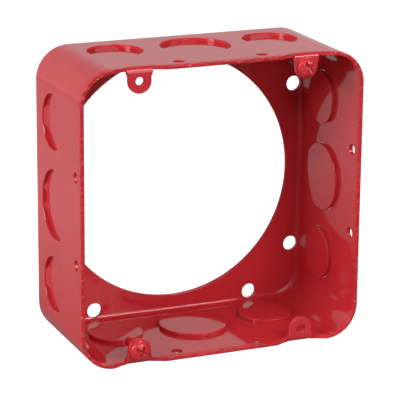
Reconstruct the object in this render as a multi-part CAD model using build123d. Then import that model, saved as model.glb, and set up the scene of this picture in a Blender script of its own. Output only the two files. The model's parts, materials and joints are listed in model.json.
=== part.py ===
from build123d import *
import os

# Square extension ring for a 4-11/16 in. steel wiring box, drawn from one piece of sheet,
# with twelve round knockout slugs and two cover screws.
# X is to the right, Y to the back, Z up.  The origin is the centre of the ring's back face,
# where the ring seats on the box behind it.  All lengths are millimetres.

os.makedirs("parts", exist_ok=True)

INCH = 25.4

# Body
SIDE = 4.6875 * INCH         # outside width and height
DEPTH = 2.125 * INCH         # front rim to back face
SHEET = 0.0625 * INCH        # steel thickness
CORNER_R = 13.5              # outside radius of the four long corners
BACK_EDGE_R = 3.6            # outside radius where the walls turn into the back flange
OPENING_D = 102.4            # round opening in the back flange
EDGE_R = 0.4                 # softened edges of the front rim and of the round opening

# Screw pattern, the same for the front ears and the back flange
PATTERN_SHORT = 2.75 * INCH
PATTERN_LONG = 4.25 * INCH
FLANGE_HOLE_D = 0.25 * INCH

# Ears that carry the cover screws, folded in from the top and bottom walls
EAR_R = 4.8                  # half the ear width, and the radius of its round end
EAR_FLARE = 0.5              # how much wider the ear is on each side where it is folded
EAR_FLARE_RUN = 3.5          # length over which that extra width dies out
EAR_SET_BACK = 1.5           # front rim to the front face of the ear
EAR_BEND_R = 2.3             # outside radius of the fold
EAR_EDGE_R = 0.3             # softened edge round the tip
EAR_HOLE_D = 3.7             # 8-32 thread, drawn at its pitch diameter
RELIEF_REACH = 1.2           # how far the trimmed rim runs straight past each side of the ear
RELIEF_DEPTH = 2.5           # how far the rim is trimmed back there
RELIEF_RUN = 5.0             # length over which the rim comes forward again
RELIEF_R = 6.0               # radius of the bends at both ends of that run

# Small holes in each wall, near the front rim
SIDE_HOLE_D = 4.6
SIDE_HOLE_SPACING = 1.375 * INCH
SIDE_HOLE_SET_BACK = 5.6     # front rim to the hole centres

# Knockouts: a 3/4 in. conduit size in the middle of each wall, a 1/2 in. size on both sides
LARGE_KNOCKOUT_D = 1.109 * INCH
SMALL_KNOCKOUT_D = 0.875 * INCH
LARGE_SET_BACK = 30.7        # front rim to the centre of the large knockout
SMALL_SET_BACK = 32.5        # front rim to the centres of the small knockouts
SMALL_OFFSET = 33.2          # centre of the wall to the centres of the small knockouts
PUSHED_IN = 1.5              # how far the slugs stand in from the face of the wall
SLUG_GAP = 0.08              # radial gap left by the shear round the slug
SLUG_EDGE_R = 0.3            # rounded inner edge of the slug
MOUTH_BREAK = 0.25           # rolled edge of the opening on the outside of the wall
TIE_TOP = 0.35               # outer face of the wall to the highest point of a tie
TIE_CLEARANCE = 0.04         # radial clearance between a tie and the wall of the opening
# Ties at the front and back of each slug: width, run across the slug, angles off the middle
SMALL_TIES = (8.0, 4.2, [0])
LARGE_TIES = (2.6, 1.8, [-17, 17])

# Cover screws, 8-32 by 1/2 in., round head with a slot and cross recess
SCREW_D = 3.6                # pitch diameter less the running clearance
SCREW_LENGTH = 0.5 * INCH
SCREW_TIP_CHAMFER = 0.6
HEAD_D = 8.5
HEAD_HEIGHT = 3.0
HEAD_SKIRT = 0.7             # straight side of the head below the dome
HEAD_SEAT_GAP = 0.05
SLOT_WIDTH = 1.2
SLOT_DEPTH = 1.2
CROSS_LENGTH = 4.6
CROSS_DEPTH = 1.9

HALF = SIDE / 2
FRONT = -DEPTH

# Each wall: its name, the turn about Y that brings the top wall onto it, and its two ends
WALLS = [
    ("top", 0, "left", "right"),
    ("right", 90, "upper", "lower"),
    ("bottom", 180, "right", "left"),
    ("left", 270, "lower", "upper"),
]


def turned(shape, angle):
    """A shape made on the top wall, turned about the Y axis onto another wall."""
    return Rot(0, angle, 0) * shape


def upright_cylinder(diameter, x, y, low, high):
    """A cylinder along Z."""
    shape = Cylinder(diameter / 2, high - low, align=(Align.CENTER, Align.CENTER, Align.MIN))
    return Pos(x, y, low) * shape


def level_cylinder(diameter, x, z, near, far):
    """A cylinder along Y, from near to far."""
    shape = Cylinder(diameter / 2, far - near, align=(Align.CENTER, Align.CENTER, Align.MIN))
    return Pos(x, near, z) * Rot(-90, 0, 0) * shape


def rounded_block(side, corner, edge, front, back):
    """A square block with round long corners and a round edge at the back."""
    outline = Plane.XZ * RectangleRounded(side, side, corner)
    block = Pos(0, back, 0) * extrude(outline, back - front)
    rim = block.faces().sort_by(Axis.Y)[-1].edges()
    return fillet(rim, edge)


def shell():
    """The drawn cup with its flat back still whole."""
    outside = rounded_block(SIDE, CORNER_R, BACK_EDGE_R, FRONT, 0)
    inside = rounded_block(
        SIDE - 2 * SHEET, CORNER_R - SHEET, BACK_EDGE_R - SHEET, FRONT, -SHEET
    )
    cup = outside - inside
    return fillet(cup.faces().sort_by(Axis.Y)[0].edges(), EDGE_R)


def flange_opening(cup):
    """The cup with its large round opening cut, both edges softened."""
    cup -= level_cylinder(OPENING_D, 0, 0, -2 * SHEET, SHEET)
    circles = cup.edges().filter_by(GeomType.CIRCLE)
    return fillet(circles.filter_by(lambda edge: abs(edge.radius - OPENING_D / 2) < 0.01), EDGE_R)


def flange_holes():
    """Eight clearance holes, so that the ring also fits turned a quarter."""
    holes = []
    for half_x, half_z in ((PATTERN_SHORT, PATTERN_LONG), (PATTERN_LONG, PATTERN_SHORT)):
        for x in (-half_x / 2, half_x / 2):
            for z in (-half_z / 2, half_z / 2):
                holes.append(level_cylinder(FLANGE_HOLE_D, x, z, -2 * SHEET, SHEET))
    return holes


def wall_holes():
    """The two small holes near the rim of the top wall."""
    y = FRONT + SIDE_HOLE_SET_BACK
    holes = []
    for x in (-SIDE_HOLE_SPACING / 2, SIDE_HOLE_SPACING / 2):
        holes.append(upright_cylinder(SIDE_HOLE_D, x, y, HALF - 2 * SHEET, HALF + SHEET))
    return holes


def knockouts():
    """Centre and diameter of the three knockouts of the top wall, from left to right."""
    small_y = FRONT + SMALL_SET_BACK
    large_y = FRONT + LARGE_SET_BACK
    return [
        (-SMALL_OFFSET, small_y, SMALL_KNOCKOUT_D),
        (0, large_y, LARGE_KNOCKOUT_D),
        (SMALL_OFFSET, small_y, SMALL_KNOCKOUT_D),
    ]


def knockout_opening(x, y, diameter):
    """The hole a slug leaves, with its rolled edge on the outside of the wall."""
    hole = upright_cylinder(diameter, x, y, HALF - 2 * SHEET, HALF + SHEET)
    mouth = Cone(
        diameter / 2,
        diameter / 2 + 2 * MOUTH_BREAK,
        2 * MOUTH_BREAK,
        align=(Align.CENTER, Align.CENTER, Align.MIN),
    )
    return hole + Pos(x, y, HALF - MOUTH_BREAK) * mouth


def relief():
    """Smoothly trimmed stretch of rim round an ear, as a flat outline."""
    near = EAR_R + EAR_FLARE + RELIEF_REACH
    far = near + RELIEF_RUN
    half = [(far + RELIEF_R, -RELIEF_R), (far + RELIEF_R, 0), (far, 0), (near, RELIEF_DEPTH)]
    points = half + [(-x, y) for x, y in reversed(half)]
    outline = make_face(Polyline(*points, close=True))
    bends = outline.vertices().filter_by(lambda v: abs(v.X) < far + RELIEF_R / 2)
    return fillet(bends, RELIEF_R)


def ear_cut(x):
    """What is trimmed from the rim of the top wall round one ear, before it is folded."""
    height = 4 * SHEET
    trim = Pos(0, 0, -height / 2) * extrude(relief(), height)
    fold = Pos(0, (EAR_SET_BACK + EAR_BEND_R) / 2, 0) * Box(
        2 * (EAR_R + EAR_FLARE), EAR_SET_BACK + EAR_BEND_R, height
    )
    return Pos(x, FRONT, HALF) * (trim + fold)


def folded_sheet(width, tip_z):
    """The sheet that turns down from the top wall, its front face at Y = 0."""
    outer = Box(width, 2 * EAR_BEND_R, HALF - tip_z, align=(Align.CENTER, Align.MIN, Align.MIN))
    inner = Box(
        2 * width, 2 * EAR_BEND_R, HALF - SHEET - tip_z, align=(Align.CENTER, Align.MIN, Align.MIN)
    )
    outer = fillet(top_front_edge(outer), EAR_BEND_R)
    inner = fillet(top_front_edge(inner), EAR_BEND_R - SHEET)
    behind = Box(2 * width, 2 * EAR_BEND_R, 2 * HALF, align=(Align.CENTER, Align.MIN, Align.CENTER))
    folded = outer - Pos(0, SHEET, 0) * inner - Pos(0, EAR_BEND_R, 0) * behind
    return Pos(0, 0, tip_z) * folded


def top_front_edge(block):
    """The upper of the two front edges along X."""
    return block.edges().filter_by(Axis.X).sort_by(Axis.Y)[:2].sort_by(Axis.Z)[-1:]


def ear_outline(hole_z):
    """Front view of the ear: round tip, straight sides, wider at the fold."""
    wide = EAR_R + EAR_FLARE
    half = [(wide, HALF), (wide, HALF - EAR_BEND_R), (EAR_R, HALF - EAR_FLARE_RUN), (EAR_R, hole_z)]
    points = half + [(-x, z) for x, z in reversed(half)]
    return make_face(Plane.XZ * Polyline(*points, close=True))


def ear(x):
    """One folded ear of the top wall, with its threaded hole."""
    front = FRONT + EAR_SET_BACK
    hole_z = PATTERN_LONG / 2
    folded = folded_sheet(2 * (EAR_R + EAR_FLARE), hole_z - EAR_R)
    outline = level_cylinder(2 * EAR_R, 0, hole_z, -SHEET, 3 * SHEET)
    outline += extrude(ear_outline(hole_z), 3 * SHEET, both=True)
    plate = Pos(x, front, 0) * (folded & outline)
    tip = plate.edges().filter_by(GeomType.CIRCLE)
    plate = fillet(tip.filter_by(lambda edge: abs(edge.radius - EAR_R) < 0.01), EAR_EDGE_R)
    return plate - level_cylinder(EAR_HOLE_D, x, hole_z, front - SHEET, front + 3 * SHEET)


def ring_body():
    """The ring itself: shell, openings and ears."""
    body = flange_opening(shell())
    for hole in flange_holes():
        body -= hole
    for _, angle, _, _ in WALLS:
        for hole in wall_holes():
            body -= turned(hole, angle)
        for x, y, diameter in knockouts():
            body -= turned(knockout_opening(x, y, diameter), angle)
    for angle in (0, 180):
        for x in (-PATTERN_SHORT / 2, PATTERN_SHORT / 2):
            body -= turned(ear_cut(x), angle)
            body += turned(ear(x), angle)
    return body


def tie(diameter, width, run):
    """A tie at the back of a slug: a ramp from the slug's face up to the edge of the opening."""
    edge = diameter / 2 + 1
    foot = diameter / 2 - run
    rise = PUSHED_IN - TIE_TOP
    low = -PUSHED_IN - SHEET / 2
    slope = Polyline(
        (foot, low),
        (edge, low),
        (edge, -TIE_TOP),
        (foot + run, -TIE_TOP),
        (foot, -PUSHED_IN),
        close=True,
    )
    section = Polyline(
        (-width / 2 - rise, low),
        (width / 2 + rise, low),
        (width / 2 + rise, -PUSHED_IN),
        (width / 2 - rise, -TIE_TOP),
        (rise - width / 2, -TIE_TOP),
        (-width / 2 - rise, -PUSHED_IN),
        close=True,
    )
    ramp = extrude(Plane.YZ * make_face(slope), width, both=True)
    return ramp & extrude(Plane.XZ * make_face(section), -diameter)


def slug(x, y, diameter):
    """One knockout slug of the top wall, pushed in and still on its ties."""
    disc = Cylinder(
        diameter / 2 - SLUG_GAP, SHEET, align=(Align.CENTER, Align.CENTER, Align.MAX)
    )
    disc = Pos(0, 0, -PUSHED_IN) * fillet(disc.edges().sort_by(Axis.Z)[:1], SLUG_EDGE_R)
    room = Cylinder(diameter / 2 - TIE_CLEARANCE, 4 * PUSHED_IN)
    width, run, angles = LARGE_TIES if diameter == LARGE_KNOCKOUT_D else SMALL_TIES
    for side in (0, 180):
        for angle in angles:
            disc += (Rot(0, 0, side + angle) * tie(diameter, width, run)) & room
    return Pos(x, y, HALF) * disc


def screw_head():
    """Round head with a slot right across and a shorter, deeper cross recess."""
    dome = HEAD_HEIGHT - HEAD_SKIRT
    dome_r = ((HEAD_D / 2) ** 2 + dome**2) / (2 * dome)
    head = Cylinder(HEAD_D / 2, HEAD_HEIGHT, align=(Align.CENTER, Align.CENTER, Align.MIN))
    head &= Pos(0, 0, HEAD_HEIGHT - dome_r) * Sphere(dome_r)
    slot = Pos(0, 0, HEAD_HEIGHT) * Box(2 * HEAD_D, SLOT_WIDTH, 2 * SLOT_DEPTH)
    cross = Pos(0, 0, HEAD_HEIGHT) * Box(SLOT_WIDTH, CROSS_LENGTH, 2 * SLOT_DEPTH)
    pit = Pos(0, 0, HEAD_HEIGHT) * Cone(
        0.3, CROSS_LENGTH / 4, CROSS_DEPTH, align=(Align.CENTER, Align.CENTER, Align.MAX)
    )
    return head - slot - cross - pit


def cover_screw(x, z, turn):
    """A screw in an ear, its head towards the front."""
    shank = Cylinder(SCREW_D / 2, SCREW_LENGTH, align=(Align.CENTER, Align.CENTER, Align.MAX))
    shank = chamfer(shank.edges().sort_by(Axis.Z)[:1], SCREW_TIP_CHAMFER)
    screw = screw_head() + shank
    seat = FRONT + EAR_SET_BACK - HEAD_SEAT_GAP
    return Pos(x, seat, z) * Rot(90, 0, 0) * Rot(0, 0, turn) * screw


def save(shape, name):
    """Write one part."""
    shape.label = name
    export_step(shape, f"parts/{name}.step")


save(ring_body(), "ring_body")

for wall, angle, first, last in WALLS:
    for end, (x, y, diameter) in zip((first, "middle", last), knockouts()):
        save(turned(slug(x, y, diameter), angle), f"knockout_{wall}_{end}")

save(cover_screw(PATTERN_SHORT / 2, PATTERN_LONG / 2, 35), "cover_screw_top")
save(cover_screw(-PATTERN_SHORT / 2, -PATTERN_LONG / 2, -30), "cover_screw_bottom")
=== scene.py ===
"""Looks of the red enamelled extension ring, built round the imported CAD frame.

The sheet metal and its knockout slugs keep their CAD meshes and get an enamel material.
The cover screws and the threads of the free ears are modelled here.  Lengths are metres.
"""

import json
import math

import bmesh
import bpy
from mathutils import Matrix, Vector

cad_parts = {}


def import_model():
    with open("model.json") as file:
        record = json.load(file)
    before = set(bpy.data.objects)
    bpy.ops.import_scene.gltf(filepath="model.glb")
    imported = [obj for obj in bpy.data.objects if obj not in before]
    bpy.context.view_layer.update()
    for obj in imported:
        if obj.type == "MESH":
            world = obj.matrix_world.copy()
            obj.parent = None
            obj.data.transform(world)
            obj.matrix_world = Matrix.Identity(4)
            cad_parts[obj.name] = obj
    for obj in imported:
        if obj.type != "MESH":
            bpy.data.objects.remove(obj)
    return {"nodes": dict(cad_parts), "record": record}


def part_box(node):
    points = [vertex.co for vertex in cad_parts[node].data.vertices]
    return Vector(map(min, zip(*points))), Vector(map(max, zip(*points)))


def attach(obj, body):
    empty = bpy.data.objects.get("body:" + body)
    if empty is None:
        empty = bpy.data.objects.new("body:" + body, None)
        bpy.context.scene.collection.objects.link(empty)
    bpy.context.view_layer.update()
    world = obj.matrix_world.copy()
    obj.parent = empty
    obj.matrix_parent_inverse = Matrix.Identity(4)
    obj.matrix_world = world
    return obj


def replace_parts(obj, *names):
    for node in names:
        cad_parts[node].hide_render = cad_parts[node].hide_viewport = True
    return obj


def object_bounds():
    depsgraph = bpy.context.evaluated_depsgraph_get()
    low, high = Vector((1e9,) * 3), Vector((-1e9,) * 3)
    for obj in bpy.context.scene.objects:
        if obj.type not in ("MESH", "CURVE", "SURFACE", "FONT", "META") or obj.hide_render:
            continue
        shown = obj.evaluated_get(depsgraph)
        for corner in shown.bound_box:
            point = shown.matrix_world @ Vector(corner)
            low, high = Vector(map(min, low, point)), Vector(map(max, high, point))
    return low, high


MM = 0.001
TURN = 2 * math.pi

# Camera: place in the row frame, turn to the right, tilt, roll (radians), lens and sensor (mm)
CAMERA_PLACE = Vector((-0.3183, -0.7691, 0.2320))
CAMERA_YAW = 0.4064
CAMERA_PITCH = -0.2834
CAMERA_ROLL = 0.0091
CAMERA_LENS = 188.4
CAMERA_SENSOR = 36.0

# Screws, 8-32: the CAD source's head with a pressed recess, a cut thread, and their divisions
HEAD_HEIGHT = 3.0 * MM
HEAD_SKIRT = 0.7 * MM
HEAD_ROUNDING = 0.25 * MM
SLOT_HALF_LENGTH = 10.0 * MM  # right across the head
SLOT_HALF_WIDTH = 0.6 * MM
SLOT_DEPTH = 1.1 * MM
CROSS_HALF_LENGTH = 2.7 * MM
CROSS_DEPTH = 1.9 * MM
CROSS_RISE = 0.9 * MM
RECESS_SOFTNESS = 0.22 * MM
SHANK_CREST_R = 1.83 * MM
SHANK_ROOT_R = 1.50 * MM
TIP_CHAMFER = 0.6 * MM
THREAD_PITCH = 25.4 / 32 * MM
CREST_SHARPNESS = 1.2
SCREW_TURNS = {"cover_screw_top": 35, "cover_screw_bottom": -30}
SCREW_POINTS_ROUND = 160
DOME_STEPS = 46
ROUNDING_STEPS = 4
THREAD_ROWS_A_PITCH = 14

# Threads in the two free ears: a helical ridge that fades out at both ends
EAR_HOLE_R = 1.85 * MM
EAR_THREAD_INNER_R = 1.64 * MM
EAR_THREAD_ROOT = 0.05 * MM
EAR_THREAD_HALF_FOOT = 0.36 * THREAD_PITCH
EAR_THREAD_HALF_CREST = 0.1 * EAR_THREAD_HALF_FOOT
EAR_THREAD_END_SHARE = 0.1
EAR_THREAD_FADE = 8
EAR_THREAD_STEPS_A_TURN = 96

# Enamel colours: the usual coat, the same where it ran deeper, and a darker red painted on edges
# and the front rim as painted shade
RED = (0.60, 0.030, 0.040, 1.0)
DEEP_RED = (0.555, 0.025, 0.034, 1.0)
EDGE_SHADE_RED = (0.56, 0.022, 0.028, 1.0)
FLAT_COSINE = 0.995  # of the angle between the rounded normal and the true one
EDGE_COSINE = 0.80
DRIFT_SCALE = 28.0
EDGE_SHADE_SCALE = 900.0

# Enamel gloss and waviness; the screws' coat is flatter than the sheet's
ENAMEL_IOR = 1.46
ENAMEL_SPECULAR = 0.5
SMOOTHEST = 0.035
ROUGHEST = 0.08
SMEAR_SCALE = 90.0
LONG_WAVE_SCALE = 42.0
LONG_WAVE_HEIGHT = 0.12 * MM
SHORT_WAVE_SCALE = 190.0
SHORT_WAVE_HEIGHT = 0.022 * MM
PEEL_SCALE = 900.0
PEEL_HEIGHT = 0.0035 * MM
BEAD_SCALE = 480.0
BEAD_HEIGHT = 1.1 * MM
SHEET_EDGE_R = 0.35 * MM
SCREW_EDGE_R = 0.12 * MM
BEVEL_SAMPLES = 6
SCREW_WAVE = 0.2

# The front rim is rolled over towards the front, and paint beads on it; the rim is also painted
# darker red as painted shade
RIM_Y = -2.125 * 25.4 * MM
ROLL_LENGTH = 2.5 * MM
ROLL_DROP = 0.25 * MM
ROLL_POWER = 0.6
RIM_BEAD_AND_SHADE_END = 1.4 * MM

# The sheet is drawn along Y, and wrinkles a little where its corners meet the flange
DRAW_LINES_ROUND = 900.0
DRAW_LINES_ALONG = 45.0
DRAW_LINE_HEIGHT = 0.04 * MM
DRAW_PATCH_SCALE = 32.0
WRINKLE_START = 43 * MM
WRINKLE_FULL = 48 * MM
WRINKLE_DEPTH = 3 * MM
WRINKLE_SCALE = 260.0
WRINKLE_HEIGHT = 0.35 * MM

# Studio paper, which the camera sees: a round floor that bends up into a wall
PAPER_TONE = (0.5, 0.5, 0.5, 1.0)
PAPER_SHADE = (0.495, 0.495, 0.495, 1.0)
PAPER_GRAIN_SCALE = 300.0
PAPER_GLOW = 0.84
FLOOR_R = 1.6
COVE_BEND_R = 0.7
COVE_TOP = 2.0
FLOOR_RINGS = 50
BEND_RINGS = 16
COVE_POINTS_ROUND = 96

# Studio table, which the enamel mirrors: dark in front of the ring and brighter behind it
TABLE_R = 0.9
TABLE_DROP = 0.3 * MM
TABLE_POINTS_ROUND = 64
TABLE_FRONT_TONE = (0.15, 0.15, 0.15, 1.0)
TABLE_BACK_TONE = (0.4, 0.4, 0.4, 1.0)
TABLE_FRONT_Y = -0.12
TABLE_BACK_Y = -0.02
TABLE_GLOW = 0.26
TABLE_GLOW_START_R = 0.08
TABLE_GLOW_FULL_R = 0.20

# Light of the studio itself, by direction: everywhere, from the backdrop, and from above it
WORLD_LIGHT = 0.11
BACKDROP_LIGHT = 0.56
BACKDROP_TOP_LIGHT = 0.29
BACKDROP_START = 0.05
BACKDROP_FULL = 0.65
BACKDROP_LOW = 0.30
BACKDROP_HIGH = 0.50

# Soft lights: place, width, height and radiance; they face the middle of the ring
LIGHT_TARGET = Vector((0.0, -0.027, 0.0))
SOFT_LIGHTS = {
    "key_left": ((-1.0, -0.27, 0.38), 0.40, 0.50, 11.4),
    "glint_left": ((-0.86, -0.56, 0.40), 0.07, 0.07, 70.0),
    "corner_strip": ((-0.62, -0.54, 0.75), 0.14, 0.07, 22.0),
    "bar_above": ((0.00, -0.87, 0.66), 0.80, 0.075, 12.0),
    "strip_high": ((0.41, -0.78, 0.66), 0.32, 0.20, 14.0),
    "fill_right": ((0.80, -0.65, 0.45), 0.28, 0.28, 8.0),
    "fill_low": ((0.20, -1.10, 0.20), 0.40, 0.40, 3.6),
}

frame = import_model()
size_at_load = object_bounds()
floor_height = size_at_load[0].z


# ---------------------------------------------------------------- shader nodes


def connect(tree, value, socket):
    """Give a socket a value: another socket's output, or a constant."""
    if isinstance(value, bpy.types.NodeSocket):
        tree.links.new(value, socket)
    else:
        socket.default_value = value


def add_axes(tree, vector):
    """The X, Y and Z outputs of a vector."""
    node = tree.nodes.new("ShaderNodeSeparateXYZ")
    tree.links.new(vector, node.inputs["Vector"])
    return node.outputs


def add_noise(tree, coordinates, scale, detail=2.0, roughness=0.5, distortion=0.0):
    """Noise from 0 to 1; its scale is in cells per metre."""
    node = tree.nodes.new("ShaderNodeTexNoise")
    node.inputs["Scale"].default_value = scale
    node.inputs["Detail"].default_value = detail
    node.inputs["Roughness"].default_value = roughness
    node.inputs["Distortion"].default_value = distortion
    tree.links.new(coordinates, node.inputs["Vector"])
    return node.outputs["Fac"]


def add_range(tree, value, from_low, from_high, to_low=0.0, to_high=1.0):
    """A value mapped from one range to another, and held at its ends."""
    node = tree.nodes.new("ShaderNodeMapRange")
    node.inputs["From Min"].default_value = from_low
    node.inputs["From Max"].default_value = from_high
    node.inputs["To Min"].default_value = to_low
    node.inputs["To Max"].default_value = to_high
    tree.links.new(value, node.inputs["Value"])
    return node.outputs["Result"]


def add_math(tree, operation, first, second=0.0):
    """An operation on two numbers; each is a number or a socket."""
    node = tree.nodes.new("ShaderNodeMath")
    node.operation = operation
    connect(tree, first, node.inputs[0])
    connect(tree, second, node.inputs[1])
    return node.outputs["Value"]


def add_vector_math(tree, operation, first, second=(0.0, 0.0, 0.0)):
    """The node of an operation on two vectors; the second may be a constant."""
    node = tree.nodes.new("ShaderNodeVectorMath")
    node.operation = operation
    tree.links.new(first, node.inputs[0])
    connect(tree, second, node.inputs[1])
    return node


def add_mix(tree, factor, first, second):
    """Mix of two colours; each is a colour or a socket."""
    node = tree.nodes.new("ShaderNodeMix")
    node.data_type = "RGBA"
    tree.links.new(factor, node.inputs["Factor"])
    colours = [socket for socket in node.inputs if socket.type == "RGBA"]
    connect(tree, first, colours[0])
    connect(tree, second, colours[1])
    return next(socket for socket in node.outputs if socket.type == "RGBA")


def add_bump(tree, height, distance, normal, strength=1.0):
    """A normal bumped by a height map; distance is the height of its full range."""
    node = tree.nodes.new("ShaderNodeBump")
    node.inputs["Distance"].default_value = distance
    tree.links.new(height, node.inputs["Height"])
    tree.links.new(normal, node.inputs["Normal"])
    connect(tree, strength, node.inputs["Strength"])
    return node.outputs["Normal"]


def add_rounded_normal(tree, radius):
    """The normal with sharp edges rounded."""
    node = tree.nodes.new("ShaderNodeBevel")
    node.samples = BEVEL_SAMPLES
    node.inputs["Radius"].default_value = radius
    return node.outputs["Normal"]


# ---------------------------------------------------------------- materials


def edge_mask(tree, rounded):
    """1 on sharp edges and 0 on flat faces: how far the rounded normal leaves the true one."""
    geometry = tree.nodes.new("ShaderNodeNewGeometry")
    dot = add_vector_math(tree, "DOT_PRODUCT", rounded, geometry.outputs["Normal"])
    return add_range(tree, dot.outputs["Value"], FLAT_COSINE, EDGE_COSINE)


def rim_mask(tree, here):
    """1 on the front rim and the first of the walls behind it, 0 further back: where paint beads
    and painted shade go.
    """
    y = add_axes(tree, here)["Y"]
    return add_range(tree, y, RIM_Y + RIM_BEAD_AND_SHADE_END / 2, RIM_Y + RIM_BEAD_AND_SHADE_END, 1.0, 0.0)


def add_draw_lines(tree, here, normal):
    """Faint lines along Y, in patches, left by the drawing of the sheet."""
    stretch = (DRAW_LINES_ROUND, DRAW_LINES_ALONG, DRAW_LINES_ROUND)
    stretched = add_vector_math(tree, "MULTIPLY", here, stretch).outputs["Vector"]
    lines = add_noise(tree, stretched, 1.0, roughness=0.6)
    patches = add_range(tree, add_noise(tree, here, DRAW_PATCH_SCALE), 0.48, 0.64, 0.15, 1.0)
    return add_bump(tree, add_math(tree, "MULTIPLY", lines, patches), DRAW_LINE_HEIGHT, normal)


def add_rolled_rim(tree, here, normal):
    """The slight roll of the sheet over the last millimetres before the front rim."""
    roll = add_range(tree, add_axes(tree, here)["Y"], RIM_Y, RIM_Y + ROLL_LENGTH)
    return add_bump(tree, add_math(tree, "POWER", roll, ROLL_POWER), ROLL_DROP, normal)


def add_corner_wrinkles(tree, here, normal):
    """Small wrinkles of the drawn sheet where its four back corners meet the flange."""
    axes = add_axes(tree, here)
    across = add_math(tree, "ABSOLUTE", axes["X"])
    upward = add_math(tree, "ABSOLUTE", axes["Z"])
    nearer = add_math(tree, "MINIMUM", across, upward)
    in_corner = add_range(tree, nearer, WRINKLE_START, WRINKLE_FULL)
    at_back = add_range(tree, axes["Y"], -3 * WRINKLE_DEPTH, -WRINKLE_DEPTH)
    strength = add_math(tree, "MULTIPLY", in_corner, at_back)
    wrinkles = add_noise(tree, here, WRINKLE_SCALE, distortion=0.8)
    return add_bump(tree, wrinkles, WRINKLE_HEIGHT, normal, strength)


def enamel_colour(tree, here, edges):
    """The coat's colour: slow drift between two reds, and patches of darker red painted on edges as
    painted shade.
    """
    drift = add_noise(tree, here, DRIFT_SCALE, 3.0, 0.55)
    coat = add_mix(tree, add_range(tree, drift, 0.35, 0.65), RED, DEEP_RED)
    # Patches of darker red on edges and the front rim: painted shade
    edge_shade_noise = add_noise(tree, here, EDGE_SHADE_SCALE, roughness=0.6)
    patches = add_range(tree, edge_shade_noise, 0.40, 0.60, 0.4, 1.0)
    return add_mix(tree, add_math(tree, "MULTIPLY", edges, patches), coat, EDGE_SHADE_RED)


def enamel_normal(tree, here, rounded, edges, wave, sheet):
    """The coat's relief: flowed-out waves, orange peel, the sheet's marks and edge beads."""
    long_wave = add_noise(tree, here, LONG_WAVE_SCALE, 1.0, 0.4)
    normal = add_bump(tree, long_wave, LONG_WAVE_HEIGHT * wave, rounded)
    short_wave = add_noise(tree, here, SHORT_WAVE_SCALE)
    normal = add_bump(tree, short_wave, SHORT_WAVE_HEIGHT * wave, normal)
    normal = add_bump(tree, add_noise(tree, here, PEEL_SCALE), PEEL_HEIGHT, normal)
    if sheet:
        normal = add_draw_lines(tree, here, normal)
        normal = add_rolled_rim(tree, here, normal)
        normal = add_corner_wrinkles(tree, here, normal)
    beads = add_noise(tree, here, BEAD_SCALE)
    return add_bump(tree, beads, BEAD_HEIGHT * wave, normal, edges)


def enamel(name, edge_radius, wave=1.0, sheet=False):
    """Gloss dip enamel, with beads of paint on edges and on the sheet's front rim, where a darker
    red is painted as shade.
    """
    material = bpy.data.materials.new(name)
    material.use_nodes = True
    tree = material.node_tree
    shader = tree.nodes["Principled BSDF"]
    shader.inputs["IOR"].default_value = ENAMEL_IOR
    shader.inputs["Specular IOR Level"].default_value = ENAMEL_SPECULAR
    shader.inputs["Metallic"].default_value = 0.0
    here = tree.nodes.new("ShaderNodeTexCoord").outputs["Object"]

    rounded = add_rounded_normal(tree, edge_radius)
    edges = edge_mask(tree, rounded)
    if sheet:
        edges = add_math(tree, "MAXIMUM", edges, rim_mask(tree, here))
    smears = add_noise(tree, here, SMEAR_SCALE, 4.0, 0.6, 0.6)
    roughness = add_range(tree, smears, 0.3, 0.7, SMOOTHEST, ROUGHEST)
    normal = enamel_normal(tree, here, rounded, edges, wave, sheet)

    tree.links.new(enamel_colour(tree, here, edges), shader.inputs["Base Color"])
    tree.links.new(roughness, shader.inputs["Roughness"])
    tree.links.new(normal, shader.inputs["Normal"])
    return material


def matt(name):
    """A matt material that can glow, with its shader, tree and place on the object."""
    material = bpy.data.materials.new(name)
    material.use_nodes = True
    tree = material.node_tree
    shader = tree.nodes["Principled BSDF"]
    shader.inputs["Roughness"].default_value = 0.9
    shader.inputs["Specular IOR Level"].default_value = 0.2
    shader.inputs["Emission Color"].default_value = (1.0, 1.0, 1.0, 1.0)
    here = tree.nodes.new("ShaderNodeTexCoord").outputs["Object"]
    return material, shader, tree, here


def studio_paper():
    """Back-lit paper with a faint grain."""
    material, shader, tree, here = matt("studio_paper")
    grain = add_range(tree, add_noise(tree, here, PAPER_GRAIN_SCALE), 0.3, 0.7)
    tree.links.new(add_mix(tree, grain, PAPER_TONE, PAPER_SHADE), shader.inputs["Base Color"])
    shader.inputs["Emission Strength"].default_value = PAPER_GLOW
    return material


def studio_grey():
    """Grey that is dark in front of the ring, and paler and glowing outwards behind it."""
    material, shader, tree, here = matt("studio_grey")
    behind = add_range(tree, add_axes(tree, here)["Y"], TABLE_FRONT_Y, TABLE_BACK_Y)
    tone = add_mix(tree, behind, TABLE_FRONT_TONE, TABLE_BACK_TONE)
    reach = add_vector_math(tree, "LENGTH", here).outputs["Value"]
    outwards = add_range(tree, reach, TABLE_GLOW_START_R, TABLE_GLOW_FULL_R, 0.0, TABLE_GLOW)
    tree.links.new(tone, shader.inputs["Base Color"])
    tree.links.new(add_math(tree, "MULTIPLY", outwards, behind), shader.inputs["Emission Strength"])
    return material


body_enamel = enamel("red_enamel", SHEET_EDGE_R, sheet=True)
screw_enamel = enamel("red_enamel_screw", SCREW_EDGE_R, wave=SCREW_WAVE)

for name, node in frame["nodes"].items():
    if not name.startswith("cover_screw"):
        node.data.materials.clear()
        node.data.materials.append(body_enamel)


# ---------------------------------------------------------------- meshes


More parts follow.
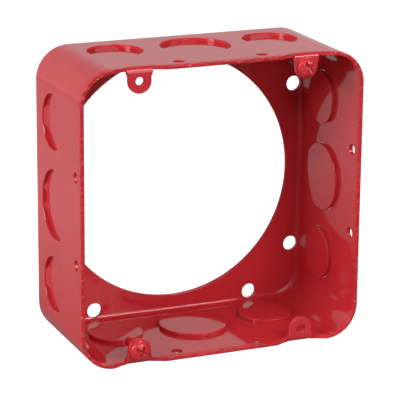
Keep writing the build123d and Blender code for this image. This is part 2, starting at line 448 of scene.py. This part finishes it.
def mesh_object(name, vertices, faces, material):
    """A smooth-shaded mesh object in the row frame."""
    mesh = bpy.data.meshes.new(name)
    mesh.from_pydata(vertices, [], faces)
    mesh.validate()
    edit = bmesh.new()
    edit.from_mesh(mesh)
    bmesh.ops.recalc_face_normals(edit, faces=edit.faces)
    edit.to_mesh(mesh)
    edit.free()
    for face in mesh.polygons:
        face.use_smooth = True
    mesh.materials.append(material)
    piece = bpy.data.objects.new(name, mesh)
    bpy.context.scene.collection.objects.link(piece)
    return piece


def circle(radius, count):
    """Points evenly spaced on a circle round the origin."""
    angles = [TURN * i / count for i in range(count)]
    return [(radius * math.cos(angle), radius * math.sin(angle)) for angle in angles]


def ring_faces(first, second, count):
    """Quads between two rings of vertices, given the index of each ring's first one."""
    faces = []
    for i in range(count):
        after = (i + 1) % count
        faces.append((first + i, first + after, second + after, second + i))
    return faces


def disc_faces(rings, count):
    """Faces of a middle vertex and the rings of vertices that follow it."""
    faces = [(0, 1 + i, 1 + (i + 1) % count) for i in range(count)]
    for k in range(rings - 1):
        faces += ring_faces(1 + k * count, 1 + (k + 1) * count, count)
    return faces


# ---------------------------------------------------------------- screws


def smooth_step(width, value):
    """1 well below zero and 0 well above it, with a soft change over twice the width."""
    t = min(1.0, max(0.0, (width - value) / (2 * width)))
    return t * t * (3 - 2 * t)


def outside_bar(u, v, half_length, half_width):
    """Distance of a point from a flat bar, negative inside it."""
    du = abs(u) - half_length
    dv = abs(v) - half_width
    return math.hypot(max(du, 0), max(dv, 0)) + min(max(du, dv), 0)


def recess_floor(height, u, v):
    """Height of the head at a point, once the slot and the cross are pressed into it."""
    slot_floor = HEAD_HEIGHT - SLOT_DEPTH
    gap = outside_bar(u, v, SLOT_HALF_LENGTH, SLOT_HALF_WIDTH)
    pressed = height - smooth_step(RECESS_SOFTNESS, gap) * max(0, height - slot_floor)
    for along, across in ((u, v), (v, u)):
        taper = min(1, abs(along) / CROSS_HALF_LENGTH)
        cross_floor = HEAD_HEIGHT - CROSS_DEPTH + CROSS_RISE * taper
        gap = outside_bar(along, across, CROSS_HALF_LENGTH, SLOT_HALF_WIDTH)
        share = smooth_step(RECESS_SOFTNESS, gap)
        pressed = min(pressed, height - share * max(0, height - cross_floor))
    return pressed


def rounding(radius, height, angle):
    """(radius, height) of a point on a small round edge of the head, inside its radius."""
    out = radius - HEAD_ROUNDING + HEAD_ROUNDING * math.cos(angle)
    return out, height + HEAD_ROUNDING * math.sin(angle)


def head_profile(radius):
    """(radius, height) points of the plain head, from the crown to the underside."""
    dome = HEAD_HEIGHT - HEAD_SKIRT
    dome_r = (radius**2 + dome**2) / (2 * dome)
    points = []
    for i in range(1, DOME_STEPS + 1):
        r = (radius - HEAD_ROUNDING) * i / DOME_STEPS
        points.append((r, HEAD_HEIGHT - dome_r + math.sqrt(dome_r**2 - r**2)))
    shoulder = points[-1][1] - HEAD_ROUNDING
    for i in range(1, ROUNDING_STEPS + 1):
        points.append(rounding(radius, shoulder, TURN / 4 * (1 - i / ROUNDING_STEPS)))
    for i in range(ROUNDING_STEPS + 1):
        points.append(rounding(radius, HEAD_ROUNDING, -TURN / 4 * i / ROUNDING_STEPS))
    return points


def thread_radius(depth, angle, length):
    """Radius of the shank at a depth below the head and an angle round it."""
    phase = (depth / THREAD_PITCH - angle / TURN) % 1.0
    ridge = abs(2 * phase - 1) ** CREST_SHARPNESS
    radius = SHANK_ROOT_R + (SHANK_CREST_R - SHANK_ROOT_R) * ridge
    tip_limit = SHANK_CREST_R - TIP_CHAMFER + max(0, length - depth)
    return min(radius, tip_limit)


def head_points(radius):
    """Points (u, v, height over the seat) of the head, ring by ring from its crown."""
    points = [(0, 0, recess_floor(HEAD_HEIGHT, 0, 0))]
    for r, height in head_profile(radius):
        for u, v in circle(r, SCREW_POINTS_ROUND):
            top = recess_floor(height, u, v) if height > HEAD_SKIRT else height
            points.append((u, v, top))
    return points


def shank_points(length):
    """Points (u, v, height over the seat) of the shank, ring by ring to its tip."""
    points = []
    rows = int(length / THREAD_PITCH * THREAD_ROWS_A_PITCH)
    for row in range(rows + 1):
        depth = length * row / rows
        for i in range(SCREW_POINTS_ROUND):
            angle = TURN * i / SCREW_POINTS_ROUND
            r = thread_radius(depth, angle, length)
            points.append((r * math.cos(angle), r * math.sin(angle), -depth))
    return points + [(0, 0, -length)]


def screw_faces(points):
    """Faces of a crown vertex, the rings of vertices after it, and a tip vertex."""
    count = SCREW_POINTS_ROUND
    tip = len(points) - 1
    last = tip - count
    faces = disc_faces((len(points) - 2) // count, count)
    return faces + [(tip, last + (i + 1) % count, last + i) for i in range(count)]


def screw(name, node):
    """A round head screw with slot and cross recess and a cut thread, in place of a node."""
    corner_low, corner_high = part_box(node)
    centre_x = (corner_low.x + corner_high.x) / 2
    centre_z = (corner_low.z + corner_high.z) / 2
    seat_y = corner_low.y + HEAD_HEIGHT
    points = head_points((corner_high.x - corner_low.x) / 2)
    points += shank_points(corner_high.y - seat_y)
    turned = math.radians(SCREW_TURNS[node])
    vertices = []
    for u, v, height in points:
        x = u * math.cos(turned) - v * math.sin(turned)
        z = u * math.sin(turned) + v * math.cos(turned)
        vertices.append((centre_x + x, seat_y - height, centre_z + z))
    piece = mesh_object(name, vertices, screw_faces(points), screw_enamel)
    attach(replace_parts(piece, node), node)


def ridge_section(y, share):
    """(radius, y) corners of the ear thread's ridge, at a share of its full size."""
    foot_r = EAR_HOLE_R + EAR_THREAD_ROOT
    crest_r = EAR_HOLE_R - (EAR_HOLE_R - EAR_THREAD_INNER_R) * share
    return (
        (foot_r, y - EAR_THREAD_HALF_FOOT * share),
        (crest_r, y - EAR_THREAD_HALF_CREST),
        (crest_r, y + EAR_THREAD_HALF_CREST),
        (foot_r, y + EAR_THREAD_HALF_FOOT * share),
    )


def ear_thread(name, x, z, front, thickness):
    """The helical ridge of the thread cut in a free ear."""
    turns = thickness / THREAD_PITCH
    steps = int(EAR_THREAD_STEPS_A_TURN * turns)
    vertices = []
    for i in range(steps + 1):
        angle = TURN * turns * i / steps
        y = front + thickness * i / steps
        share = min(1, EAR_THREAD_END_SHARE + EAR_THREAD_FADE * min(i, steps - i) / steps)
        for radius, along in ridge_section(y, share):
            along = min(max(along, front), front + thickness)
            vertices.append((x + radius * math.cos(angle), along, z + radius * math.sin(angle)))
    faces = [(0, 1, 2, 3), tuple(4 * steps + k for k in (3, 2, 1, 0))]
    for i in range(steps):
        faces += ring_faces(4 * i, 4 * (i + 1), 4)
    piece = mesh_object(name, vertices, faces, body_enamel)
    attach(piece, "ring_body")


for node in SCREW_TURNS:
    screw(node + "_detail", node)

for mount in frame["record"]["mounts"]:
    if mount["kind"] == "threaded_hole":
        x, y, z = mount["pos_m"]
        thickness = mount["dims"]["length_mm"] * MM
        ear_thread(mount["name"] + "_ridge", x, z, y - thickness / 2, thickness)


# ---------------------------------------------------------------- studio


def cove_profile():
    """(radius, height) points of the cove, from near its middle to the top of its wall."""
    profile = [(FLOOR_R * i / FLOOR_RINGS, 0.0) for i in range(1, FLOOR_RINGS + 1)]
    for i in range(1, BEND_RINGS + 1):
        angle = TURN / 4 * i / BEND_RINGS
        out = FLOOR_R + COVE_BEND_R * math.sin(angle)
        profile.append((out, COVE_BEND_R * (1 - math.cos(angle))))
    profile.append((FLOOR_R + COVE_BEND_R, COVE_TOP))
    return profile


def cove():
    """A round floor that sweeps up into a plain wall all round, seen by the camera only."""
    count = COVE_POINTS_ROUND
    profile = cove_profile()
    vertices = [(0, 0, floor_height)]
    for radius, height in profile:
        vertices += [(x, y, floor_height + height) for x, y in circle(radius, count)]
    floor = mesh_object("studio_cove", vertices, disc_faces(len(profile), count), studio_paper())
    floor.visible_diffuse = False
    floor.visible_glossy = False
    floor.visible_shadow = False


def table():
    """A disc just under the paper, which the camera doesn't see and the enamel mirrors."""
    height = floor_height - TABLE_DROP
    edge = circle(TABLE_R, TABLE_POINTS_ROUND)
    vertices = [(0, 0, height)] + [(x, y, height) for x, y in edge]
    disc = mesh_object("studio_table", vertices, disc_faces(1, len(edge)), studio_grey())
    disc.visible_camera = False


def soft_light(name, place, width, height, radiance):
    """A soft rectangular light; its power follows from its radiance."""
    light = bpy.data.lights.new(name, "AREA")
    light.shape = "RECTANGLE"
    light.size = width
    light.size_y = height
    light.energy = radiance * math.pi * width * height
    lamp = bpy.data.objects.new(name, light)
    lamp.location = place
    lamp.rotation_euler = (LIGHT_TARGET - Vector(place)).to_track_quat("-Z", "Y").to_euler()
    lamp.visible_camera = False
    bpy.context.scene.collection.objects.link(lamp)


def world():
    """A dim studio with a bright, low backdrop behind the object."""
    backdrop = bpy.data.worlds.new("studio_world")
    backdrop.use_nodes = True
    tree = backdrop.node_tree
    direction = add_axes(tree, tree.nodes.new("ShaderNodeTexCoord").outputs["Generated"])
    behind = add_range(tree, direction["Y"], BACKDROP_START, BACKDROP_FULL)
    by_height = add_range(
        tree, direction["Z"], BACKDROP_LOW, BACKDROP_HIGH, BACKDROP_LIGHT, BACKDROP_TOP_LIGHT
    )
    glow = add_math(tree, "ADD", add_math(tree, "MULTIPLY", behind, by_height), WORLD_LIGHT)
    background = tree.nodes["Background"]
    background.inputs["Color"].default_value = (1.0, 1.0, 1.0, 1.0)
    tree.links.new(glow, background.inputs["Strength"])
    bpy.context.scene.world = backdrop


def camera():
    """The camera, from its place, its turn to the right, its tilt and its roll."""
    level = math.cos(CAMERA_PITCH)
    forward = Vector(
        (math.sin(CAMERA_YAW) * level, math.cos(CAMERA_YAW) * level, math.sin(CAMERA_PITCH))
    )
    right = Vector((math.cos(CAMERA_YAW), -math.sin(CAMERA_YAW), 0))
    up = right.cross(forward)
    rolled_right = math.cos(CAMERA_ROLL) * right + math.sin(CAMERA_ROLL) * up
    rolled_up = math.cos(CAMERA_ROLL) * up - math.sin(CAMERA_ROLL) * right
    data = bpy.data.cameras.new("camera")
    data.lens = CAMERA_LENS
    data.sensor_width = CAMERA_SENSOR
    eye = bpy.data.objects.new("camera", data)
    axes = Matrix((rolled_right, rolled_up, -forward)).transposed().to_4x4()
    eye.matrix_world = Matrix.Translation(CAMERA_PLACE) @ axes
    bpy.context.scene.collection.objects.link(eye)
    bpy.context.scene.camera = eye


cove()
table()
world()
for name, (place, width, height, radiance) in SOFT_LIGHTS.items():
    soft_light(name, place, width, height, radiance)
camera()

bpy.context.scene.view_settings.view_transform = "Standard"
